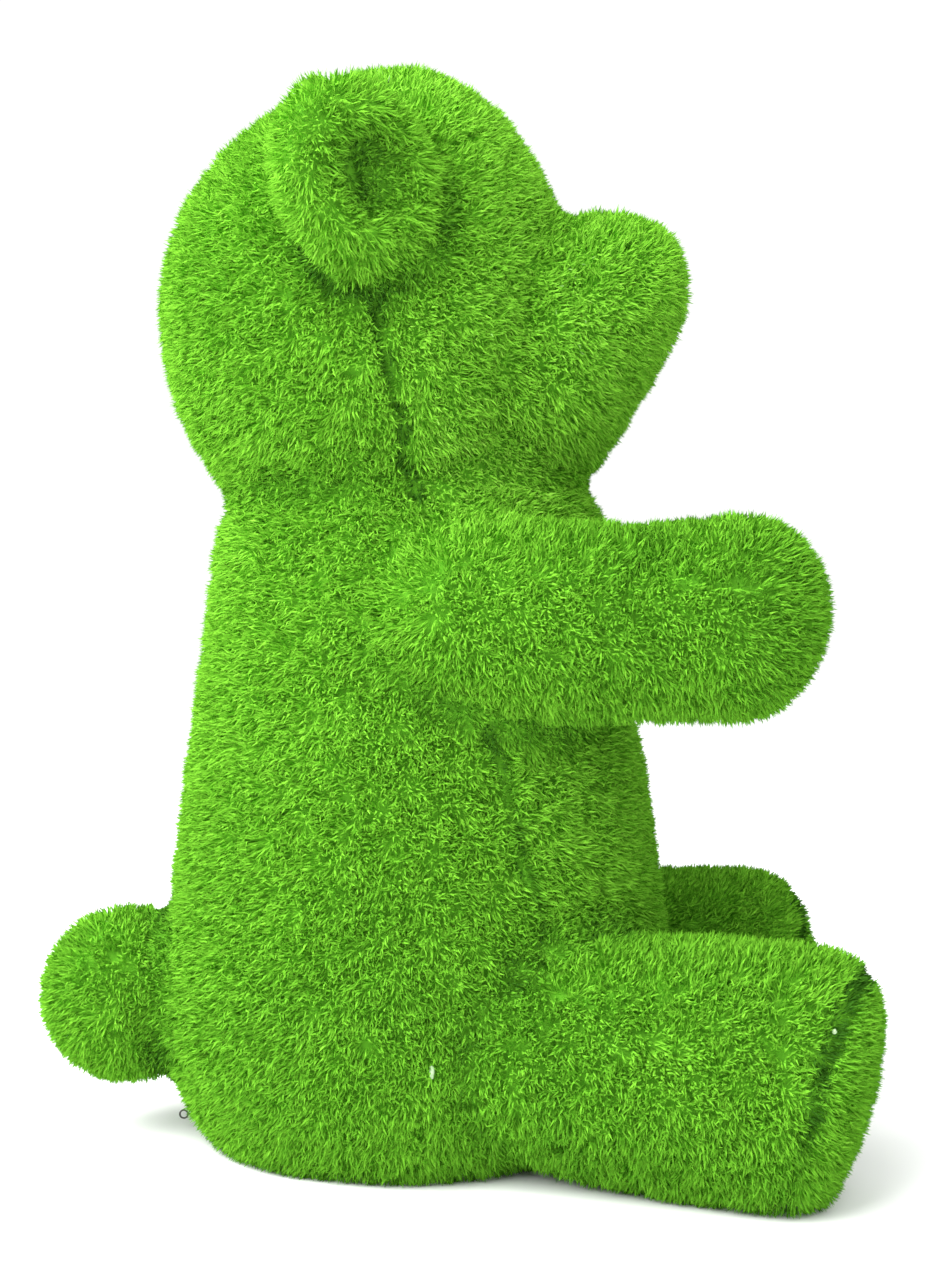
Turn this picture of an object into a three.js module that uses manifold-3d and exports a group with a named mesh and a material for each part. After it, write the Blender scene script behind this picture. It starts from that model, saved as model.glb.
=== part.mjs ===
// A seated bear figurine covered all over in short artificial grass, like a clipped hedge.
// Millimetres, +Z up. The bear faces -Y and sits on the plane z = 0, mirrored about x = 0.
// Every size is taken to the tips of the grass, because that is the surface one touches.
import * as THREE from "three";
import { LoftGeometry } from "three/addons/geometries/LoftGeometry.js";
import { mergeVertices } from "three/addons/utils/BufferGeometryUtils.js";
import Module from "manifold-3d";

const GRASS_COLOUR = 0x4f9e1e;
const GRASS_ROUGHNESS = 0.75;

// How far a tuft of grass stands out of, or lies below, the even surface.
const TUFT_RELIEF = 1.2;

// Where two panels of turf are sewn together, the grass parts in a groove.
const SEAM_DEPTH = 5;
const SEAM_HALF_WIDTH = 6;
const SEAM_CLEARANCE = 1.8; // in half widths: no even ring lies nearer to a seam than this

const WELD_TOLERANCE = 1e-3;

// Torso: oval levels from the ground up, each from its foremost to its rearmost y.
const TORSO = [
  { at: -8, from: -50, to: 128, half: 88 },
  { at: 0, from: -62, to: 140, half: 99 },
  { at: 14, from: -84, to: 158, half: 118 },
  { at: 36, from: -106, to: 171, half: 133 },
  { at: 80, from: -113, to: 180, half: 141 },
  { at: 130, from: -110, to: 172, half: 138 },
  { at: 190, from: -102, to: 165, half: 127 },
  { at: 245, from: -91, to: 158, half: 117 },
  { at: 300, from: -82, to: 150, half: 108 },
  { at: 345, from: -77, to: 144, half: 98 },
  { at: 372, from: -60, to: 134, half: 84 },
];
const TORSO_SIDES = 34;
const TORSO_RINGS = 17;
const TORSO_MIDDLE = new THREE.Vector3(0, 30, 180);
const SIDE_SEAM_TURN = THREE.MathUtils.degToRad(20); // the side seams lie this far before the widest place

// Head: a ball with a different reach in each direction from its middle.
const HEAD_AT = new THREE.Vector3(0, 40, 462);
const HEAD_REACH = { side: 118, back: 136, front: 97, up: 138, down: 145 };
const HEAD_SIDES = 36;
const HEAD_RINGS = 18; // counted from the back to the face; the cheek seam is the middle one
const CROWN_FALL = 9; // how much lower the crown would lie at the far top corner of the back of the head

// Muzzle: oval levels towards the nose, each from its underside to its top.
const MUZZLE = [
  { at: 0, from: 348, to: 512, half: 88 },
  { at: 40, from: 354, to: 519, half: 84 },
  { at: 64, from: 368, to: 521, half: 76 },
  { at: 84, from: 395, to: 521, half: 66 },
  { at: 100, from: 422, to: 517, half: 55 },
  { at: 112, from: 443, to: 508, half: 42 },
  { at: 119, from: 457, to: 496, half: 26 },
  { at: 122, from: 468, to: 484, half: 10 },
];
const MUZZLE_SIDES = 30;
const MUZZLE_RINGS = 13;

// Ears: thick round pads, hollowed on the side that faces forward and outward.
const EAR_AT = new THREE.Vector3(-122, 59, 519);
const EAR_HALF = new THREE.Vector3(49, 31, 56);
const EAR_TURN = THREE.MathUtils.degToRad(54);
const EAR_TILT = THREE.MathUtils.degToRad(32); // the ear's top leans this far towards the back
const EAR_HOLLOW = { radius: 44, depth: 17 };
const EAR_DETAIL = 5;

// Arms: held straight out in front, a little apart, thinner at the wrist than at the paw.
// Limb profiles give the share of the way from the root to the end, and the radius there.
const ARM = {
  root: new THREE.Vector3(-84, 8, 297),
  end: new THREE.Vector3(-129, -182, 300),
  sag: 5,
  profile: [
    [-0.27, 20],
    [-0.2, 38],
    [-0.08, 51],
    [0.08, 56.5],
    [0.3, 55],
    [0.48, 52.5],
    [0.62, 53],
    [0.75, 56],
  ],
  rings: 11,
  sides: 26,
};
const PAW_RINGS = 5;
const PAW_LAST_STEP = 0.6; // the last ring lies this part of a step short of the paw's tip

// Legs: stretched forward and apart, widening to a foot whose sole leans back towards the heel.
const LEG = {
  root: new THREE.Vector3(-85, -20, 71.5),
  end: new THREE.Vector3(-141, -205, 63),
  sag: 0,
  profile: [
    [-0.24, 20],
    [-0.16, 42],
    [0, 59],
    [0.3, 64],
    [0.6, 67],
    [0.8, 67.5],
    [0.865, 65],
  ],
  rings: 11,
  sides: 28,
};
const SOLE_SEAM = 0.895;
const SOLE_PROFILE = [
  [0.918, 60.5],
  [0.94, 54],
  [0.963, 44],
  [0.985, 29],
];
const SOLE_LEAN = 0.2;

const LIMB_CAP = 0.02; // the root's pole stands this share of the limb behind its first ring

// Tail: a round ball low on the back.
const TAIL_AT = new THREE.Vector3(0, 196, 79);
const TAIL_HALF = new THREE.Vector3(52, 51, 52);
const TAIL_DETAIL = 5;

const GROUND_BLOCK = 900; // the block below the ground, which cuts the seat and the heels flat

const wasm = await Module();
wasm.setup();

// The geometry with one vertex for each place, so that moving a vertex keeps the surface closed.
function welded(geometry) {
  const bare = new THREE.BufferGeometry().copy(geometry);
  bare.deleteAttribute("normal");
  bare.deleteAttribute("uv");
  return mergeVertices(bare, WELD_TOLERANCE);
}

function moveVertices(geometry, move) {
  const position = geometry.attributes.position;
  const point = new THREE.Vector3();
  for (let i = 0; i < position.count; i++) {
    move(point.fromBufferAttribute(position, i));
    position.setXYZ(i, point.x, point.y, point.z);
  }
  return geometry;
}

// A repeatable number from -1 to 1 for a place.
function unevenness({ x, y, z }) {
  const wave = Math.sin(x * 12.9898 + y * 78.233 + z * 37.719) * 43758.5453;
  return 2 * (wave - Math.floor(wave)) - 1;
}

// Raises and lowers the surface from vertex to vertex, as uneven tufts do.
function tufted(geometry, centre) {
  const outward = new THREE.Vector3();
  return moveVertices(geometry, (p) => {
    outward.subVectors(p, centre).normalize();
    p.addScaledVector(outward, TUFT_RELIEF * unevenness(p));
  });
}

function solidOf(geometry) {
  const mesh = welded(geometry);
  const corners = [];
  for (let i = 0; i < mesh.index.count; i += 3) {
    const [a, b, c] = [0, 1, 2].map((k) => mesh.index.getX(i + k));
    if (a !== b && b !== c && c !== a) corners.push(a, b, c);
  }
  return new wasm.Manifold(
    new wasm.Mesh({
      numProp: 3,
      vertProperties: mesh.attributes.position.array,
      triVerts: new Uint32Array(corners),
    }),
  );
}

function geometryOf(solid) {
  const mesh = solid.getMesh();
  return new THREE.BufferGeometry()
    .setAttribute("position", new THREE.BufferAttribute(mesh.vertProperties, 3))
    .setIndex(new THREE.BufferAttribute(mesh.triVerts, 1));
}

function ellipsoid(centre, half, detail) {
  return new THREE.IcosahedronGeometry(1, detail)
    .scale(half.x, half.y, half.z)
    .translate(centre.x, centre.y, centre.z);
}

// Evenly spread values from first to last, with a seam and its two edges in place of the nearest ones.
function spreadWithSeams(first, last, count, seams, halfWidth) {
  const even = Array.from({ length: count }, (_, i) => first + ((last - first) * i) / (count - 1));
  const nearest = SEAM_CLEARANCE * halfWidth;
  const clear = even.filter((value) => seams.every((seam) => Math.abs(value - seam) > nearest));
  const grooves = seams.flatMap((seam) => [seam - halfWidth, seam, seam + halfWidth]);
  return [...clear, ...grooves].sort((a, b) => a - b);
}

// Oval rings through the levels of a table, closed at both ends. Each ring turns through the given
// angles, is drawn in at the seams, and is put in place by giving its x, across and along.
function ovalStack(levels, ringCount, turns, seams, place) {
  const outline = new THREE.CubicInterpolant(
    levels.map((_, i) => i),
    levels.flatMap((level) => [level.at, level.from, level.to, level.half]),
    4,
  );
  const sections = Array.from({ length: ringCount }, (_, i) => {
    const [at, from, to, half] = outline.evaluate((i * (levels.length - 1)) / (ringCount - 1));
    return turns.map((turn) => {
      const inset = 1 - (seams.includes(turn) ? SEAM_DEPTH / half : 0);
      const across = (from + to) / 2 + (Math.sin(turn) * inset * (to - from)) / 2;
      return place(Math.cos(turn) * half * inset, across, at);
    });
  });
  return welded(new LoftGeometry(sections, { capStart: true, capEnd: true }));
}

// The torso has a parted seam down each side.
function makeTorso() {
  const seams = [-SIDE_SEAM_TURN, Math.PI + SIDE_SEAM_TURN];
  const widest = Math.max(...TORSO.map((level) => level.half));
  const last = 1.5 * Math.PI - (2 * Math.PI) / TORSO_SIDES;
  const turns = spreadWithSeams(-0.5 * Math.PI, last, TORSO_SIDES, seams, SEAM_HALF_WIDTH / widest);
  const body = ovalStack(TORSO, TORSO_RINGS, turns, seams, (x, y, z) => new THREE.Vector3(x, y, z));
  return solidOf(tufted(body, TORSO_MIDDLE));
}

function makeMuzzle() {
  const turns = Array.from({ length: MUZZLE_SIDES }, (_, i) => (2 * Math.PI * i) / MUZZLE_SIDES);
  const place = (x, z, ahead) => new THREE.Vector3(x, -ahead, z);
  return solidOf(tufted(ovalStack(MUZZLE, MUZZLE_RINGS, turns, [], place), HEAD_AT));
}

// A lathed ball whose axis runs from the back of the head to the face, so that the cheek seam is one ring.
function makeHead() {
  const seamTurn = SEAM_HALF_WIDTH / HEAD_REACH.back;
  const turns = spreadWithSeams(0, Math.PI, HEAD_RINGS, [Math.PI / 2], seamTurn);
  const profile = turns.map((turn) => {
    const inset = 1 - (turn === Math.PI / 2 ? SEAM_DEPTH / HEAD_REACH.side : 0);
    return new THREE.Vector2(Math.sin(turn) * inset, -Math.cos(turn));
  });
  const ball = welded(new THREE.LatheGeometry(profile, HEAD_SIDES));
  moveVertices(ball, (p) => {
    p.z -= (CROWN_FALL / HEAD_REACH.up) * Math.max(0, p.y) * Math.max(0, p.z);
    p.x *= HEAD_REACH.side;
    p.y *= p.y > 0 ? HEAD_REACH.back : HEAD_REACH.front;
    p.z *= p.z > 0 ? HEAD_REACH.up : HEAD_REACH.down;
  });
  tufted(ball, new THREE.Vector3());
  ball.translate(HEAD_AT.x, HEAD_AT.y, HEAD_AT.z);
  return solidOf(ball);
}

// The sizes are those of the bear's right side; side is -1 for that one and 1 for the left.
function onSide(point, side) {
  return new THREE.Vector3(-side * point.x, point.y, point.z);
}

function makeEar(side) {
  const centre = new THREE.Vector3();
  const pad = tufted(welded(ellipsoid(centre, EAR_HALF, EAR_DETAIL)), centre);
  const scoopAt = new THREE.Vector3(0, -EAR_HALF.y + EAR_HOLLOW.depth - EAR_HOLLOW.radius, 0);
  const scoopHalf = new THREE.Vector3().setScalar(EAR_HOLLOW.radius);
  const scoop = ellipsoid(scoopAt, scoopHalf, EAR_DETAIL);
  const at = onSide(EAR_AT, side);
  const ear = geometryOf(solidOf(pad).subtract(solidOf(scoop)));
  ear.rotateY(side * EAR_TILT);
  ear.rotateZ(side * EAR_TURN);
  ear.translate(at.x, at.y, at.z);
  return solidOf(ear);
}

// Points of a curve through a short profile, so that a limb swells and narrows evenly.
function smoothProfile(profile, count) {
  const curve = new THREE.SplineCurve(profile.map(([share, radius]) => new THREE.Vector2(share, radius)));
  return curve.getPoints(count).map((p) => [p.x, p.y]);
}

// A lathed limb with the given rings, closed at both ends, which sags at its middle and whose far end leans
// back at the bottom.
function makeLimb({ root, end, sag, sides }, rings, side, lean) {
  const start = onSide(root, side);
  const along = new THREE.Vector3().subVectors(onSide(end, side), start);
  const length = along.length();
  const first = rings[0][0] - LIMB_CAP;
  const profile = [
    new THREE.Vector2(0, first * length),
    ...rings.map(([share, radius]) => new THREE.Vector2(radius, share * length)),
    new THREE.Vector2(0, length),
  ];
  const limb = tufted(welded(new THREE.LatheGeometry(profile, sides)), new THREE.Vector3(0, length / 2, 0));
  const rise = along.z / length;
  moveVertices(limb, (p) => {
    const share = Math.max(0, p.y / length);
    const height = p.z;
    p.z += rise * p.y - sag * Math.sin(Math.PI * Math.min(1, share));
    p.y += lean * height * share ** 3;
  });
  // The lathe's axis is +y; the limb is turned about z until it points the right way.
  limb.rotateZ(Math.PI + Math.atan2(along.x, -along.y));
  limb.translate(start.x, start.y, start.z);
  return solidOf(limb);
}

function makeArm(side) {
  const [pawFrom, pawRadius] = ARM.profile.at(-1);
  const paw = Array.from({ length: PAW_RINGS }, (_, i) => {
    const turn = (Math.PI / 2) * ((i + 1) / (PAW_RINGS + PAW_LAST_STEP));
    return [pawFrom + (1 - pawFrom) * Math.sin(turn), pawRadius * Math.cos(turn)];
  });
  return makeLimb(ARM, [...smoothProfile(ARM.profile, ARM.rings), ...paw], side, 0);
}

function makeLeg(side) {
  const rimRadius = LEG.profile.at(-1)[1];
  const sole = [[SOLE_SEAM, rimRadius - SEAM_DEPTH], ...SOLE_PROFILE];
  return makeLimb(LEG, [...smoothProfile(LEG.profile, LEG.rings), ...sole], side, SOLE_LEAN);
}

function makeTail() {
  return solidOf(tufted(welded(ellipsoid(TAIL_AT, TAIL_HALF, TAIL_DETAIL)), TAIL_AT));
}

function makeBear() {
  const ground = new THREE.BoxGeometry(GROUND_BLOCK, GROUND_BLOCK, GROUND_BLOCK);
  ground.translate(0, 0, -GROUND_BLOCK / 2);
  const pairs = [-1, 1].flatMap((side) => [makeEar(side), makeArm(side), makeLeg(side)]);
  return [makeHead(), makeMuzzle(), makeTail(), ...pairs]
    .reduce((whole, piece) => whole.add(piece), makeTorso())
    .subtract(solidOf(ground));
}

// The origin is on the ground, in the middle of the bear's box.
function centred(geometry) {
  geometry.computeBoundingBox();
  const middle = geometry.boundingBox.getCenter(new THREE.Vector3());
  return geometry.translate(-middle.x, -middle.y, -geometry.boundingBox.min.z);
}

const grass = new THREE.MeshStandardMaterial({
  color: GRASS_COLOUR,
  roughness: GRASS_ROUGHNESS,
  metalness: 0,
});
const bear = new THREE.Mesh(centred(geometryOf(makeBear())), grass);
bear.name = "grass_bear";

const figurine = new THREE.Group();
figurine.add(bear);

export default figurine;
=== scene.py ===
import math

import bpy
import numpy as np
from mathutils import Matrix


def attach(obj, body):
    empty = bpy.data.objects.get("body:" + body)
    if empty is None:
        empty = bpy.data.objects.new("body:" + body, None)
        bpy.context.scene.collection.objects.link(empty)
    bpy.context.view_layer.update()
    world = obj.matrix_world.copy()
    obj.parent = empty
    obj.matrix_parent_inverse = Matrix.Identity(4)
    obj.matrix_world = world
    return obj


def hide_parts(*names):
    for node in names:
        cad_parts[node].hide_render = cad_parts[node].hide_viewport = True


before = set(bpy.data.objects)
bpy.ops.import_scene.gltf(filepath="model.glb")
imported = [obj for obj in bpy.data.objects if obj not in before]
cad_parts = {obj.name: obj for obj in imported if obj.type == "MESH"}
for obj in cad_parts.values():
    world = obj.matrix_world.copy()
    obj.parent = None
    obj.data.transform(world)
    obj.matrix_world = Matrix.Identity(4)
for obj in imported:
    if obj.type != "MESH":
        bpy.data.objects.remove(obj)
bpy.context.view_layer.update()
bpy.ops.object.select_all(action="DESELECT")

# The camera looks square at the bear's right side from a little above its middle, tipped slightly down.
# It is a short telephoto held about 1.2 m away, so the near limbs look a touch larger than the far ones.
CAMERA_AT = (-1.184, -0.0155, 0.333)
CAMERA_DIP = math.radians(2.57)
CAMERA_LENS = 58.95
bpy.ops.object.camera_add(location=CAMERA_AT, rotation=(math.pi / 2 - CAMERA_DIP, 0, -math.pi / 2))
camera = bpy.context.object
camera.data.lens = CAMERA_LENS
bpy.context.scene.camera = camera

# The studio: a pale, seamless floor, an even white surround, and a large soft lamp above the bear's back on
# the camera's side. A weaker lamp opens the shadows from the front.
FLOOR_RADIUS = 9.0
FLOOR_CORNERS = 96
FLOOR_WHITE = (0.97, 0.97, 0.97, 1)
FLOOR_ROUGHNESS = 0.85
SURROUND_WHITE = (1, 1, 1, 1)
SURROUND_STRENGTH = 1.06
LAMPS_AIMED_AT = 0.3
KEY_AT, KEY_WIDTH, KEY_POWER = (-0.85, 1.1, 1.7), 2.2, 125
FILL_AT, FILL_WIDTH, FILL_POWER = (-1.5, -0.5, 1.4), 1.6, 9

bpy.ops.mesh.primitive_circle_add(vertices=FLOOR_CORNERS, radius=FLOOR_RADIUS, fill_type="NGON")
floor = bpy.context.object
floor.name = "studio_floor"
floor_paint = bpy.data.materials.new("floor_paint")
floor_paint.use_nodes = True
floor_shader = floor_paint.node_tree.nodes["Principled BSDF"]
floor_shader.inputs["Base Color"].default_value = FLOOR_WHITE
floor_shader.inputs["Roughness"].default_value = FLOOR_ROUGHNESS
floor.data.materials.append(floor_paint)

surround = bpy.data.worlds.new("surround")
surround.use_nodes = True
surround.node_tree.nodes["Background"].inputs["Color"].default_value = SURROUND_WHITE
surround.node_tree.nodes["Background"].inputs["Strength"].default_value = SURROUND_STRENGTH
bpy.context.scene.world = surround
bpy.context.scene.view_settings.view_transform = "Standard"


def soft_lamp(name, place, width, power):
    """A square soft lamp, turned to face the middle of the bear."""
    bpy.ops.object.light_add(type="AREA", location=place)
    lamp = bpy.context.object
    lamp.name = name
    lamp.data.size = width
    lamp.data.energy = power
    lamp.rotation_mode = "QUATERNION"
    aim = -lamp.location
    aim.z += LAMPS_AIMED_AT
    lamp.rotation_quaternion = aim.to_track_quat("-Z", "Y")


soft_lamp("key_lamp", KEY_AT, KEY_WIDTH, KEY_POWER)
soft_lamp("fill_lamp", FILL_AT, FILL_WIDTH, FILL_POWER)

# The body under the turf: one hollow moulded shell with the limbs on it, the turf's depth inside the
# finished form. It is painted dark green where the turf is glued on, and left bare and grey underneath.
TURF_DEPTH = 0.0090
SAME_POINT = 1e-5
SHELL_CELL = 0.007
SHELL_SMOOTHING = 0.5
SMOOTHED_FIRST = 3
SMOOTHED_LAST = 4
SHELL_TURNED_UP = 0.03
HOLLOW_SOFTENING = 2
HOLLOW_FULL = 0.07
BARE_EDGE = (0.001, 0.005)
PAINT_MOTTLE = 90
PAINT_GREENS = ((0.070, 0.250, 0.012, 1), (0.130, 0.400, 0.022, 1))
BARE_GREYS = ((0.045, 0.048, 0.042, 1), (0.085, 0.088, 0.080, 1))
PAINT_ROUGHNESS = 0.8
PAINT_SHINE = 0.05


def only(piece):
    """Selects one piece and nothing else."""
    bpy.ops.object.select_all(action="DESELECT")
    piece.select_set(True)
    bpy.context.view_layer.objects.active = piece


def finish_with(piece, kind, **settings):
    """Gives a piece one modifier with these settings, and applies it."""
    only(piece)
    modifier = piece.modifiers.new(kind.lower(), kind)
    for setting, value in settings.items():
        setattr(modifier, setting, value)
    bpy.ops.object.modifier_apply(modifier=modifier.name)


def read_points(mesh):
    """The mesh's points, one row of x, y and z for each."""
    flat = np.zeros(len(mesh.vertices) * 3, np.float32)
    mesh.vertices.foreach_get("co", flat)
    return flat.reshape(-1, 3).astype(float)


def write_points(mesh, points):
    """Moves the mesh's points to these places."""
    mesh.vertices.foreach_set("co", points.astype(np.float32).ravel())
    mesh.update()


def read_normals(mesh):
    """Which way is straight out of the surface at each of the mesh's points."""
    flat = np.zeros(len(mesh.vertices) * 3, np.float32)
    mesh.vertices.foreach_get("normal", flat)
    return flat.reshape(-1, 3)


def hollows(mesh):
    """How hollow the surface is at each point, from 0 to 1, and the way out of the hollow along it."""
    points = read_points(mesh)
    upright = read_normals(mesh)
    ends = np.zeros(len(mesh.edges) * 2, np.int32)
    mesh.edges.foreach_get("vertices", ends)
    ends = ends.reshape(-1, 2)
    here, there = np.concatenate([ends, ends[:, ::-1]]).T
    number = np.bincount(here, minlength=len(points))
    reach = points[there] - points[here]

    def gathered(values):
        return np.bincount(here, values, minlength=len(points)) / number

    depth = gathered((reach * upright[here]).sum(1)) / SHELL_CELL
    for _ in range(HOLLOW_SOFTENING):
        depth = (depth + gathered(depth[there])) / 2
    depth = np.clip(depth / HOLLOW_FULL, 0, 1)
    rise = (depth[there] - depth[here]) / (reach**2).sum(1)
    slope = np.stack([gathered(rise * reach[:, axis]) for axis in range(3)], 1)
    steepness = np.linalg.norm(slope, axis=1, keepdims=True)
    return depth, -slope / np.maximum(steepness, 1e-9)


def new_finish(name, roughness):
    """A new material of this roughness: its nodes, their links and its shader."""
    finish = bpy.data.materials.new(name)
    finish.use_nodes = True
    shader = finish.node_tree.nodes["Principled BSDF"]
    shader.inputs["Roughness"].default_value = roughness
    return finish, finish.node_tree.nodes, finish.node_tree.links, shader


def mottled(finish, scale, colours):
    """Colours that change in soft spots all over a material, each from its dark shade to its light one."""
    nodes, links = finish.node_tree.nodes, finish.node_tree.links
    coordinates = nodes.new("ShaderNodeTexCoord")
    mottle = nodes.new("ShaderNodeTexNoise")
    mottle.inputs["Scale"].default_value = scale
    links.new(coordinates.outputs["Object"], mottle.inputs["Vector"])
    for shades in colours:
        colour = nodes.new("ShaderNodeValToRGB")
        for stop, shade in zip(colour.color_ramp.elements, shades):
            stop.color = shade
        links.new(mottle.outputs["Fac"], colour.inputs["Fac"])
        yield colour.outputs["Color"]


shell = bpy.data.objects.new("turf_backing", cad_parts["grass_bear"].data.copy())
bpy.context.scene.collection.objects.link(shell)
only(shell)
bpy.ops.object.mode_set(mode="EDIT")
bpy.ops.mesh.select_all(action="SELECT")
bpy.ops.mesh.remove_doubles(threshold=SAME_POINT)
bpy.ops.object.mode_set(mode="OBJECT")
finish_with(shell, "REMESH", mode="VOXEL", voxel_size=SHELL_CELL)
finish_with(shell, "SMOOTH", factor=SHELL_SMOOTHING, iterations=SMOOTHED_FIRST)
hollow, out_of_hollow = hollows(shell.data)
finish_with(shell, "DISPLACE", strength=-TURF_DEPTH, mid_level=0)
finish_with(shell, "SMOOTH", factor=SHELL_SMOOTHING, iterations=SMOOTHED_LAST)
points = read_points(shell.data)
low = points[:, 2] < SHELL_TURNED_UP
shell_floor = points[:, 2].min()
points[low, 2] = (points[low, 2] - shell_floor) * SHELL_TURNED_UP / (SHELL_TURNED_UP - shell_floor)
write_points(shell.data, points)
only(shell)
bpy.ops.object.shade_smooth()

backing_paint, nodes, links, shader = new_finish("backing_paint", PAINT_ROUGHNESS)
shader.inputs["Specular IOR Level"].default_value = PAINT_SHINE
painted_green, bare_grey = mottled(backing_paint, PAINT_MOTTLE, (PAINT_GREENS, BARE_GREYS))
coordinates = nodes.new("ShaderNodeTexCoord")
height = nodes.new("ShaderNodeSeparateXYZ")
links.new(coordinates.outputs["Object"], height.inputs[0])
edge = nodes.new("ShaderNodeMapRange")
edge.inputs["From Min"].default_value = BARE_EDGE[0]
edge.inputs["From Max"].default_value = BARE_EDGE[1]
links.new(height.outputs["Z"], edge.inputs["Value"])
both = nodes.new("ShaderNodeMix")
both.data_type = "RGBA"
links.new(edge.outputs["Result"], both.inputs["Factor"])
links.new(bare_grey, both.inputs["A"])
links.new(painted_green, both.inputs["B"])
links.new(both.outputs["Result"], shader.inputs["Base Color"])
shell.data.materials.clear()
shell.data.materials.append(backing_paint)
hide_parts("grass_bear")
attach(shell, "root")

# The blades of the turf: slender folded strips of green plastic about a millimetre wide, gathered at the root
# and pointed at the tip. Four shapes are drawn here, and the panels of turf are filled with copies of them.
BLADE_WIDTH = 0.00105
BLADE_LENGTH = 0.0106
BLADE_KNEE = 0.62
BLADE_BENDS = (0.0004, 0.0010, 0.0018, 0.0027)
BLADE_BEND_PER_DROP = 3
BLADE_ROUGHNESS = 0.7
BLADE_SHINE = 0.0
# Painted light and shade along each blade: full colour at the root, darker towards the tip, which evens out
# the lit tips against the shaded gaps between them.
BLADE_TIP_PAINTED_SHADE = 0.65
BLADE_TIP_FROM = 0.8
GRASS_TONES = (
    (0.00, (0.045, 0.160, 0.014, 1)),
    (0.12, (0.150, 0.460, 0.028, 1)),
    (0.35, (0.220, 0.600, 0.038, 1)),
    (0.60, (0.290, 0.730, 0.055, 1)),
    (0.85, (0.390, 0.830, 0.090, 1)),
    (1.00, (0.490, 0.840, 0.180, 1)),
)

grass, nodes, links, shader = new_finish("grass_plastic", BLADE_ROUGHNESS)
shader.inputs["Specular IOR Level"].default_value = BLADE_SHINE
along = nodes.new("ShaderNodeUVMap")
along.uv_map = "OFBake"
apart = nodes.new("ShaderNodeSeparateXYZ")
links.new(along.outputs["UV"], apart.inputs[0])
tones = nodes.new("ShaderNodeValToRGB")
for spot, colour in GRASS_TONES:
    stop = tones.color_ramp.elements.new(spot)
    stop.color = colour
for spare in (0, -1):
    tones.color_ramp.elements.remove(tones.color_ramp.elements[spare])
links.new(apart.outputs["X"], tones.inputs["Fac"])
# Each blade is painted lighter at the root and darker at the tip, as painted light and shade.
painted_tip_shade = nodes.new("ShaderNodeMapRange")
painted_tip_shade.inputs["From Max"].default_value = BLADE_TIP_FROM
painted_tip_shade.inputs["To Min"].default_value = 1.0
painted_tip_shade.inputs["To Max"].default_value = BLADE_TIP_PAINTED_SHADE
links.new(apart.outputs["Y"], painted_tip_shade.inputs["Value"])
painted = nodes.new("ShaderNodeMix")
painted.data_type = "RGBA"
painted.blend_type = "MULTIPLY"
painted.inputs["Factor"].default_value = 1
links.new(tones.outputs["Color"], painted.inputs["A"])
links.new(painted_tip_shade.outputs["Result"], painted.inputs["B"])
links.new(painted.outputs["Result"], shader.inputs["Base Color"])

blades = bpy.data.collections.new("grass_blades")
for count, bend in enumerate(BLADE_BENDS):
    bpy.ops.mesh.primitive_plane_add(size=1, rotation=(math.pi / 2, 0, 0))
    blade = bpy.context.object
    blade.name = f"blade_{count}"
    blade.scale = (BLADE_WIDTH, BLADE_LENGTH, 1)
    blade.location.z = BLADE_LENGTH / 2
    bpy.ops.object.transform_apply(location=True, rotation=True, scale=True)
    bpy.ops.object.mode_set(mode="EDIT")
    bpy.ops.mesh.select_mode(type="VERT")
    bpy.ops.mesh.select_all(action="SELECT")
    knee = BLADE_LENGTH * BLADE_KNEE
    bpy.ops.mesh.bisect(plane_co=(0, 0, knee), plane_no=(0, 0, 1))
    for above in (False, True):
        bpy.ops.mesh.select_all(action="DESELECT")
        bpy.ops.object.mode_set(mode="OBJECT")
        for corner in blade.data.vertices:
            corner.select = abs(corner.co.z - knee) > knee / 10 and (corner.co.z > knee) == above
        bpy.ops.object.mode_set(mode="EDIT")
        bpy.ops.mesh.merge(type="CENTER")
    bpy.ops.transform.translate(value=(0, bend, -bend / BLADE_BEND_PER_DROP))
    bpy.ops.object.mode_set(mode="OBJECT")
    unwrapped = blade.data.uv_layers.active
    unwrapped.name = "OFBake"
    for loop in blade.data.loops:
        corner = blade.data.vertices[loop.vertex_index].co
        unwrapped.data[loop.index].uv = (corner.x / BLADE_WIDTH + 0.5, corner.z / BLADE_LENGTH)
    blade.data.materials.append(grass)
    blade.users_collection[0].objects.unlink(blade)
    blades.objects.link(blade)

# The turf is a mat of green plastic blades, cut into panels that are joined edge to edge and glued on: two
# for the head, which meet in a seam down the cheek, two each for the back, belly, ears, arms and legs, and
# one for the snout and the tail. At the seams and out of the hollows the pile parts, and painted shade
# darkens its blades there.
# How densely the blades stand, and how much they differ from one another.
BLADES_PER_SQUARE_METRE = 745000
TONE_COLUMNS = 160
LEAN_SPREAD = 0.34
HEIGHT_SPREAD = (0.82, 1.12)
WIDTH_SPREAD = (0.8, 1.2)
TUFT_SCALE = 100
TUFT_LEAN = 2.5
TUFT_HEIGHT = 0.7
# Where each panel lies on the body: limbs by their middle lines, an ear by its middle and half sizes.
NECK = 0.345
SNOUT_FRONT_OF = -0.062
ARM = ((0.084, -0.0075, 0.295), (0.129, -0.1975, 0.298))
ARM_PANEL = 0.060
ARM_COMBED = 0.052
LEG = ((0.085, -0.0355, 0.070), (0.141, -0.2205, 0.063))
LEG_PANEL = 0.068
LEG_COMBED = 0.060
EAR_AT = (0.122, 0.0435, 0.519)
EAR_HALF = (0.049, 0.031, 0.056)
EAR_TURN = math.radians(54)
EAR_TILT = math.radians(32)
EAR_PANEL = 0.95
TAIL_AT = (0, 0.1805, 0.079)
TAIL_PANEL = 0.043
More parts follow.
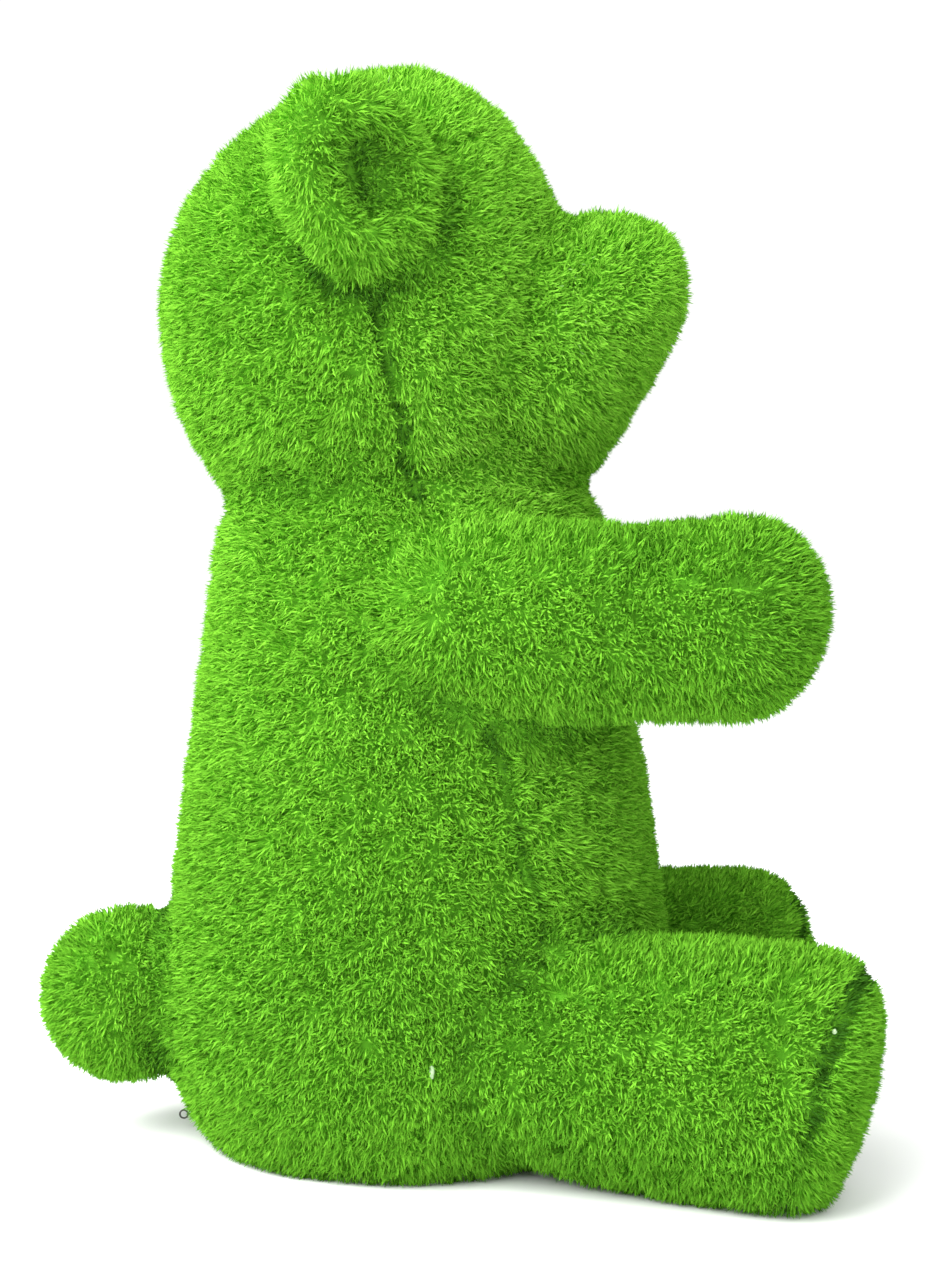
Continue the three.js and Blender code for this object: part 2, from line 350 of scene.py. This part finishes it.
# Where the seams run, and how deep each is at a row of heights.
CHEEK_SEAM = ((0.0272, 0.434), (0.0138, 0.367))
CHEEK_SEAM_DEPTH = ((0.350, 0.358, 0.450, 0.466, 0.52, 0.56), (0, 1, 1, 0.5, 0.5, 0.8))
SIDE_SEAM = ((-0.0258, 0.236), (-0.0414, 0.171))
SIDE_SEAM_DEPTH = ((0.100, 0.180, 0.225, 0.300), (0.1, 0.6, 0.6, 0.1))
SOLE_SEAM = (0.195, -0.1830, 0.090)
SOLE_SEAM_DEPTH = ((0.035, 0.055, 0.070, 0.085, 0.110, 0.130), (0.2, 0.75, 0.45, 0.8, 0.75, 0.35))
SOLE_SEAM_REACH = 0.072
SOLE_FACES = (0.278, -0.922, -0.271)
SEAM_WANDER = 0.0012
SEAM_WAVE = 95
SEAM_REACH = 0.0065
SEAM_NONE = 0.03
# Which way the pile is combed, and how much shorter it is in seams and hollows.
DROOP = -0.28
LIMB_DROOP = DROOP / 3
LIMB_COMB = 0.35
FACE_COMB = 0.12
PARTING = 0.8
SEAM_PARTING = 0.5
SEAM_CUT = 0.38
HOLLOW_CUT = 0.45
# How much darker or paler the pile is in places: 1 would turn the palest green into the darkest. Painted
# shade darkens the seams, hollows, the head round the ears, the limbs and the lowest pile, and painted light
# brightens the belly; the rest is the blades' own tone.
SEAM_PAINTED_SHADE = 0.55
HOLLOW_PAINTED_SHADE = 0.24
AROUND_EAR_PAINTED_SHADE = (0.18, 0.42)
AROUND_EAR_PAINTED_SHADE_RISES = (-0.03, 0.03)
AROUND_EAR_PAINTED_SHADE_ROUND = ((0.85, 0.98, 1.1, 1.4), (0, 1, 1, 0))
EAR_HOLLOW = (0.2, 0.7)
EAR_HOLLOW_PAINTED_SHADE = 0.30
TONE_SPREAD = (0.26, 0.50)
TONE_LIMITS = (0.005, 0.985)
PALE_SHARE = 0.035
PALE_LIFT = 0.24
PATCH_SCALE = 20
PATCH_TONE = 0.22
FACE_LIFT = 0.11
ARM_PAINTED_SHADE = 0.27
ARM_PAINTED_SHADE_ALONG = (-0.1, 0.5)
ARM_PAINTED_SHADE_FADES = (0.055, 0.065)
LEG_PAINTED_SHADE = 0.09
LEG_PAINTED_SHADE_ALONG = (-0.1, 0.4)
LEG_PAINTED_SHADE_FADES = (0.060, 0.072)
BELLY_PAINTED_LIGHT = 0.10
LOW_PAINTED_SHADE = 0.12
HEM_PAINTED_SHADOW = 0.42
LOW_PAINTED_SHADE_HEIGHTS = (0.002, 0.012, 0.10, 0.25)
CHIN_PALE = 0.32
CHIN_AT = (-0.02, 0.37)
CHIN_HALF = (0.04, 0.03)
# No turf is glued to the flat underside, and no blade reaches below the ground.
BARE_BELOW = 0.006
BARE_FACES_DOWN = -0.7
CLEAR_OF_GROUND = 0.0004


def mirroring(where):
    """What turns each point, and each direction there, into its mirror image on the bear's left side."""
    return np.where(where[:, :1] < 0, -1, 1) * [1, 0, 0] + np.array([0, 1, 1])


def along_limb(where, limb):
    """Each point's share of the way along the limb, and its distance from the limb's middle line."""
    root, end = (np.array(one) for one in limb)
    mirrored = where * mirroring(where)
    line = end - root
    share = (mirrored - root) @ line / (line @ line)
    nearest = root + np.clip(share, 0, 1)[:, None] * line
    return share, np.linalg.norm(mirrored - nearest, axis=1)


def from_ear(where):
    """Each point's place seen from the nearer ear: across its face, out of its back and up, in half sizes."""
    turned = Matrix.Rotation(EAR_TURN, 3, "Z") @ Matrix.Rotation(EAR_TILT, 3, "Y")
    return (where * mirroring(where) - EAR_AT) @ np.array(turned) / EAR_HALF


def ear_reach(where):
    """Each point's distance from the middle of the nearer ear, which is 1 at the ear's surface."""
    return np.linalg.norm(from_ear(where), axis=1)


def wander(where):
    """How far a seam strays from its straight line, as it was cut by hand."""
    return SEAM_WANDER * np.sin(SEAM_WAVE * where[:, 2])


def beside(where, seam):
    """How far behind a seam on the bear's side each place is. The seam is given by two points, as y and z."""
    (top_y, top_z), (end_y, end_z) = seam
    slant = (where[:, 2] - top_z) * (top_y - end_y) / (top_z - end_z)
    return where[:, 1] - top_y - slant + wander(where)


def panel_names(where):
    """The name of the turf panel that covers each place on the shell."""
    hand = np.where(where[:, 0] < 0, "right", "left")
    end = np.where(beside(where, CHEEK_SEAM) > 0, "back", "front")
    names = np.char.add(np.where(beside(where, SIDE_SEAM) > 0, "turf_back_", "turf_belly_"), hand)
    names = np.where(where[:, 2] > NECK, np.char.add("turf_head_", end), names)
    names = np.where((where[:, 2] > NECK) & (where[:, 1] < SNOUT_FRONT_OF), "turf_snout", names)
    names = np.where(ear_reach(where) < EAR_PANEL, np.char.add("turf_ear_", hand), names)
    near_tail = np.linalg.norm(where - TAIL_AT, axis=1) < TAIL_PANEL
    names = np.where(near_tail, "turf_tail", names)
    share, reach = along_limb(where, ARM)
    names = np.where((share > 0) & (reach < ARM_PANEL), np.char.add("turf_arm_", hand), names)
    share, reach = along_limb(where, LEG)
    return np.where((share > 0) & (reach < LEG_PANEL), np.char.add("turf_leg_", hand), names)


def seams(where):
    """For each seam: how far each place is from it, which way is across it, and how deep it is there."""
    height = where[:, 2]
    across_body = np.array([0, 1, 0])
    depth = np.interp(height, *CHEEK_SEAM_DEPTH) * (ear_reach(where) > 1)
    yield beside(where, CHEEK_SEAM), across_body, depth
    from_arm, from_leg = along_limb(where, ARM)[1], along_limb(where, LEG)[1]
    depth = np.interp(height, *SIDE_SEAM_DEPTH) * (from_arm > ARM_COMBED) * (from_leg > LEG_COMBED)
    yield beside(where, SIDE_SEAM), across_body, depth
    off_sole = (where * mirroring(where) - SOLE_SEAM) @ np.array(SOLE_FACES)
    depth = np.interp(height, *SOLE_SEAM_DEPTH) * (from_leg < SOLE_SEAM_REACH)
    yield off_sole + wander(where), mirroring(where) * SOLE_FACES, depth


where = read_points(shell.data)
lean = np.zeros_like(where)
lean[:, 2] = DROOP
for limb, combed in ((ARM, ARM_COMBED), (LEG, LEG_COMBED)):
    share, reach = along_limb(where, limb)
    line = np.array(limb[1]) - np.array(limb[0])
    outward = mirroring(where) * line / np.linalg.norm(line) * LIMB_COMB
    on_limb = (reach < combed) & (share > 0)
    lean[on_limb] = outward[on_limb] + [0, 0, LIMB_DROOP]
lean += PARTING * hollow[:, None] * out_of_hollow
face = (where[:, 2] > NECK) & (beside(where, CHEEK_SEAM) < 0) & (ear_reach(where) > 1)
lean[face, 1] -= FACE_COMB
pile = 1 - HOLLOW_CUT * hollow
# Painted shade in the hollows and creases, where the pile lies in shade.
dark = HOLLOW_PAINTED_SHADE * hollow
pale = np.full(len(where), PALE_SHARE)
from_chin = (where[:, 1:] - CHIN_AT) / CHIN_HALF
chin = np.exp(-(from_chin**2).sum(1))
pale += CHIN_PALE * chin
dark *= 1 - chin
# Painted shade in the scoop of each ear.
across_ear, behind_ear, up_ear = from_ear(where).T
ear_face = (ear_reach(where) < EAR_PANEL) & (behind_ear < 0)
dark[ear_face] = np.interp(np.hypot(across_ear, up_ear), EAR_HOLLOW, (EAR_HOLLOW_PAINTED_SHADE, 0))[ear_face]
# Painted shadow on the head all round each ear, strongest below it.
shadow_under_ear = np.interp(EAR_AT[2] - where[:, 2], AROUND_EAR_PAINTED_SHADE_RISES, AROUND_EAR_PAINTED_SHADE)
dark = np.maximum(dark, np.interp(ear_reach(where), *AROUND_EAR_PAINTED_SHADE_ROUND) * shadow_under_ear)
dark[face] -= FACE_LIFT
# Painted shade on the arms and legs, growing along each limb.
for limb, shade, grows_along, fades in (
    (ARM, ARM_PAINTED_SHADE, ARM_PAINTED_SHADE_ALONG, ARM_PAINTED_SHADE_FADES),
    (LEG, LEG_PAINTED_SHADE, LEG_PAINTED_SHADE_ALONG, LEG_PAINTED_SHADE_FADES),
):
    share, reach = along_limb(where, limb)
    dark += np.interp(share, grows_along, (0, shade)) * np.interp(reach, fades, (1, 0))
# Painted light on the belly.
dark[(where[:, 2] < NECK) & (beside(where, SIDE_SEAM) < 0)] -= BELLY_PAINTED_LIGHT
# Painted shade on the lower part of the bear, and a darker painted shadow along its bottom edge.
dark += np.interp(where[:, 2], LOW_PAINTED_SHADE_HEIGHTS, (HEM_PAINTED_SHADOW, LOW_PAINTED_SHADE, LOW_PAINTED_SHADE, 0))
seam = np.full(len(where), SEAM_NONE)
seam_depth = np.zeros(len(where))
parting = np.zeros_like(where)
for distance, across, depth in seams(where):
    nearer = (depth > 0) & (np.abs(distance) < np.abs(seam))
    seam[nearer] = distance[nearer]
    seam_depth[nearer] = depth[nearer]
    parting[nearer] = np.broadcast_to(across, where.shape)[nearer]
for name, kind, values in (
    ("lean", "FLOAT_VECTOR", lean),
    ("parting", "FLOAT_VECTOR", parting),
    ("seam", "FLOAT", seam),
    ("seam_depth", "FLOAT", seam_depth),
    ("pile", "FLOAT", pile),
    ("pale", "FLOAT", pale),
    ("dark", "FLOAT", dark),
):
    kept = shell.data.attributes.new(name, kind, "POINT")
    kept.data.foreach_set("vector" if kind == "FLOAT_VECTOR" else "value", values.astype(np.float32).ravel())

planting = bpy.data.node_groups.new("turf_planting", "GeometryNodeTree")
planting.interface.new_socket("Panel", in_out="INPUT", socket_type="NodeSocketGeometry")
draw = planting.interface.new_socket("Draw", in_out="INPUT", socket_type="NodeSocketInt")
planting.interface.new_socket("Turf", in_out="OUTPUT", socket_type="NodeSocketGeometry")


def step(kind, inputs, **settings):
    """One node of the planting, with what goes into it, and its first result."""
    node = planting.nodes.new(kind)
    for setting, value in settings.items():
        setattr(node, setting, value)
    for socket, source in inputs.items():
        if isinstance(source, bpy.types.NodeSocket):
            planting.links.new(source, node.inputs[socket])
        else:
            node.inputs[socket].default_value = source
    return node.outputs[0]


def named(name, kind):
    """A value that the shell's points carry under this name."""
    return step("GeometryNodeInputNamedAttribute", {"Name": name}, data_type=kind)


def chance(kind, low, high, seed):
    """A random value for each blade: a vector, a number, or a whole number."""
    first, result = {"FLOAT_VECTOR": (0, 0), "FLOAT": (2, 1), "INT": (4, 2)}[kind]
    ends = {first: low, first + 1: high, 8: seed}
    return step("FunctionNodeRandomValue", ends, data_type=kind).node.outputs[result]


def numbers(operation, *values):
    """A sum, product or the like of numbers."""
    return step("ShaderNodeMath", dict(enumerate(values)), operation=operation)


def vectors(operation, *values):
    """A sum, product or the like of vectors."""
    return step("ShaderNodeVectorMath", dict(enumerate(values)), operation=operation)


given = planting.nodes.new("NodeGroupInput")
roots = step(
    "GeometryNodeDistributePointsOnFaces",
    {"Mesh": given.outputs[0], "Density": BLADES_PER_SQUARE_METRE, "Seed": given.outputs[1]},
)
from_seam = numbers("ABSOLUTE", named("seam", "FLOAT"))
at_seam = step(
    "ShaderNodeMapRange",
    {"Value": from_seam, "From Min": 0.0, "From Max": SEAM_REACH, "To Min": 1.0, "To Max": 0.0},
    interpolation_type="SMOOTHSTEP",
)
at_seam = numbers("MULTIPLY", at_seam, named("seam_depth", "FLOAT"))
side_of_seam = numbers("SIGN", named("seam", "FLOAT"))
away = numbers("MULTIPLY", side_of_seam, numbers("MULTIPLY", at_seam, SEAM_PARTING))
parted = vectors("MULTIPLY", named("parting", "FLOAT_VECTOR"), away)
tufts = step("ShaderNodeTexNoise", {"Scale": TUFT_SCALE, "Detail": 1.0})
tufted = vectors("SUBTRACT", tufts.node.outputs["Color"], (0.5, 0.5, 0.5))
tufted = vectors("MULTIPLY", tufted, (TUFT_LEAN,) * 3)
scatter = chance("FLOAT_VECTOR", (-LEAN_SPREAD,) * 3, (LEAN_SPREAD,) * 3, 1)
combed = vectors("ADD", named("lean", "FLOAT_VECTOR"), parted)
leaning = vectors("ADD", combed, vectors("ADD", tufted, scatter))
grows = vectors("ADD", roots.node.outputs["Normal"], leaning)
spun = step("ShaderNodeCombineXYZ", {"Z": chance("FLOAT", 0.0, math.tau, 2)})
spun = step("FunctionNodeEulerToRotation", {0: spun})
turned = step("FunctionNodeAlignRotationToVector", {"Rotation": spun, "Vector": grows}, axis="Z")
uncut = numbers("MULTIPLY_ADD", at_seam, -SEAM_CUT, 1.0)
tall = numbers("MULTIPLY", named("pile", "FLOAT"), uncut)
tall = numbers("MULTIPLY", tall, chance("FLOAT", *HEIGHT_SPREAD, 3))
tall = numbers("MULTIPLY", tall, numbers("MULTIPLY_ADD", tufts, TUFT_HEIGHT, 1 - TUFT_HEIGHT / 2))
size = step("ShaderNodeCombineXYZ", {"X": chance("FLOAT", *WIDTH_SPREAD, 4), "Y": 1.0, "Z": tall})
shapes = step(
    "GeometryNodeCollectionInfo",
    {"Collection": blades, "Separate Children": True, "Reset Children": True},
)
pick = chance("INT", 0, len(BLADE_BENDS) - 1, 5)
planted = step(
    "GeometryNodeInstanceOnPoints",
    {
        "Points": roots,
        "Instance": shapes,
        "Pick Instance": True,
        "Instance Index": pick,
        "Rotation": turned,
        "Scale": size,
    },
)
is_pale = numbers("LESS_THAN", chance("FLOAT", 0.0, 1.0, 6), named("pale", "FLOAT"))
tone = numbers("MULTIPLY_ADD", is_pale, PALE_LIFT, chance("FLOAT", *TONE_SPREAD, 7))
patches = step("ShaderNodeTexNoise", {"Scale": PATCH_SCALE, "Detail": 1.0})
tone = numbers("MULTIPLY_ADD", numbers("SUBTRACT", patches, 0.5), PATCH_TONE, tone)
# Painted shade in each seam's groove, added to the darkening that the shell's points carry.
shade = numbers("MULTIPLY_ADD", at_seam, SEAM_PAINTED_SHADE, named("dark", "FLOAT"))
tone = numbers("MAXIMUM", numbers("SUBTRACT", tone, shade), TONE_LIMITS[0])
tone = numbers("MINIMUM", tone, TONE_LIMITS[1])
toned = step(
    "GeometryNodeStoreNamedAttribute",
    {"Geometry": planted, "Name": "tone", "Value": tone},
    data_type="FLOAT",
    domain="INSTANCE",
)
real = step("GeometryNodeRealizeInstances", {"Geometry": toned})
own = step("ShaderNodeSeparateXYZ", {0: named("OFBake", "FLOAT_VECTOR")})
column = numbers("MULTIPLY_ADD", own, 1 / TONE_COLUMNS, named("tone", "FLOAT"))
picked = step("ShaderNodeCombineXYZ", {"X": column, "Y": own.node.outputs["Y"]})
mapped = step(
    "GeometryNodeStoreNamedAttribute",
    {"Geometry": real, "Name": "OFBake", "Value": picked},
    data_type="FLOAT2",
    domain="CORNER",
)
grown = step("ShaderNodeSeparateXYZ", {0: step("GeometryNodeInputPosition", {})})
lifted = numbers("MAXIMUM", grown.node.outputs["Z"], CLEAR_OF_GROUND)
cleared = step("ShaderNodeCombineXYZ", {"X": grown, "Y": grown.node.outputs["Y"], "Z": lifted})
settled = step("GeometryNodeSetPosition", {"Geometry": mapped, "Position": cleared})
planting.links.new(settled, planting.nodes.new("NodeGroupOutput").inputs[0])

PANEL_VALUES = {"lean", "parting", "seam", "seam_depth", "pile", "pale", "dark", "tone"}
face_at = np.array([face.center for face in shell.data.polygons])
downward = np.array([face.normal.z for face in shell.data.polygons]) < BARE_FACES_DOWN
face_panel = panel_names(face_at)
face_panel[downward & (face_at[:, 2] < BARE_BELOW)] = "bare"
for count, name in enumerate(sorted(set(face_panel) - {"bare"})):
    panel = bpy.data.objects.new(name, shell.data.copy())
    bpy.context.scene.collection.objects.link(panel)
    only(panel)
    bpy.ops.object.mode_set(mode="EDIT")
    bpy.ops.mesh.select_mode(type="FACE")
    bpy.ops.mesh.select_all(action="DESELECT")
    bpy.ops.object.mode_set(mode="OBJECT")
    panel.data.polygons.foreach_set("select", face_panel != name)
    bpy.ops.object.mode_set(mode="EDIT")
    bpy.ops.mesh.delete(type="FACE")
    bpy.ops.object.mode_set(mode="OBJECT")
    modifier = panel.modifiers.new("planting", "NODES")
    modifier.node_group = planting
    modifier[draw.identifier] = count
    bpy.ops.object.modifier_apply(modifier=modifier.name)
    for spare in PANEL_VALUES & set(panel.data.attributes.keys()):
        panel.data.attributes.remove(panel.data.attributes[spare])
    panel.data.materials.clear()
    panel.data.materials.append(grass)
    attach(panel, "root")

# A loop of dark steel wire stands out of the turf at the foot of the back, where the bear is tied down.
# It is bent round in one piece, with its ends pushed into the body.
WIRE_AT = (0, 0.1482, 0.0088)
WIRE_LOOP = 0.0023
WIRE_THICK = 0.0005
WIRE_END = 0.018
WIRE_SIDES = 10
WIRE_LOOP_PARTS = 32
WIRE_SMOOTH_BELOW = math.radians(40)
WIRE_MOTTLE = 900
WIRE_GREYS = ((0.035, 0.034, 0.030, 1), (0.110, 0.105, 0.095, 1))
WIRE_METALLIC = 0.7
WIRE_ROUGHNESS = 0.42

bpy.ops.mesh.primitive_torus_add(
    location=WIRE_AT,
    rotation=(0, math.pi / 2, 0),
    major_radius=WIRE_LOOP,
    minor_radius=WIRE_THICK,
    major_segments=WIRE_LOOP_PARTS,
    minor_segments=WIRE_SIDES,
)
wire = bpy.context.object
wire.name = "wire_loop"
for side in (-1, 1):
    bpy.ops.mesh.primitive_cylinder_add(
        vertices=WIRE_SIDES,
        radius=WIRE_THICK,
        depth=WIRE_END,
        rotation=(math.pi / 2, 0, 0),
    )
    end = bpy.context.object
    end_at = WIRE_AT[1] - WIRE_LOOP - WIRE_END / 2 + WIRE_THICK
    end.location = (side * WIRE_THICK, end_at, WIRE_AT[2])
    only(end)
    bpy.ops.object.mode_set(mode="EDIT")
    bpy.ops.mesh.select_all(action="SELECT")
    bpy.ops.mesh.normals_make_consistent()
    bpy.ops.object.mode_set(mode="OBJECT")
    wire.select_set(True)
    bpy.context.view_layer.objects.active = wire
    bpy.ops.object.join()
bpy.ops.object.transform_apply(location=True, rotation=True, scale=True)
bpy.ops.object.shade_smooth_by_angle(angle=WIRE_SMOOTH_BELOW)
steel, nodes, links, shader = new_finish("dark_steel_wire", WIRE_ROUGHNESS)
shader.inputs["Metallic"].default_value = WIRE_METALLIC
(tarnish,) = mottled(steel, WIRE_MOTTLE, (WIRE_GREYS,))
links.new(tarnish, shader.inputs["Base Color"])
wire.data.materials.append(steel)
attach(wire, "root")

# Two whitish beads of hot glue show between the blades on the bear's right side, one at the hip and one at
# the seam of the sole. Each is a small lump squeezed out of the joint under the turf.
GLUE_BEADS = {
    "glue_bead_hip": ((-0.1400, 0.0060, 0.0655), (0.0010, 0.0014, 0.0036)),
    "glue_bead_sole": ((-0.1850, -0.1925, 0.1030), (0.0011, 0.0011, 0.0014)),
}
BEAD_DEPTH = 0.0064
BEAD_LUMPS = 0.0011
BEAD_DIVISIONS = 3
GLUE_MOTTLE = 500
GLUE_WHITES = ((0.18, 0.32, 0.12, 1), (0.40, 0.52, 0.32, 1))
GLUE_ROUGHNESS = 0.2

glue, nodes, links, shader = new_finish("hot_glue", GLUE_ROUGHNESS)
(milk,) = mottled(glue, GLUE_MOTTLE, (GLUE_WHITES,))
links.new(milk, shader.inputs["Base Color"])
shell_points, shell_normals = read_points(shell.data), read_normals(shell.data)
for name, (spot, half) in GLUE_BEADS.items():
    nearest = int(np.argmin(np.linalg.norm(shell_points - spot, axis=1)))
    seat = shell_points[nearest] + shell_normals[nearest] * BEAD_DEPTH
    bpy.ops.mesh.primitive_ico_sphere_add(subdivisions=BEAD_DIVISIONS, radius=1, location=seat)
    bead = bpy.context.object
    bead.name = name
    bead.scale = half
    bpy.ops.object.transform_apply(location=True, rotation=True, scale=True)
    lumps = bpy.data.textures.new(name, "CLOUDS")
    lumps.noise_scale = BEAD_LUMPS
    finish_with(bead, "DISPLACE", texture=lumps, texture_coords="GLOBAL", strength=BEAD_LUMPS)
    bpy.ops.object.shade_smooth()
    bead.data.materials.append(glue)
    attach(bead, "root")
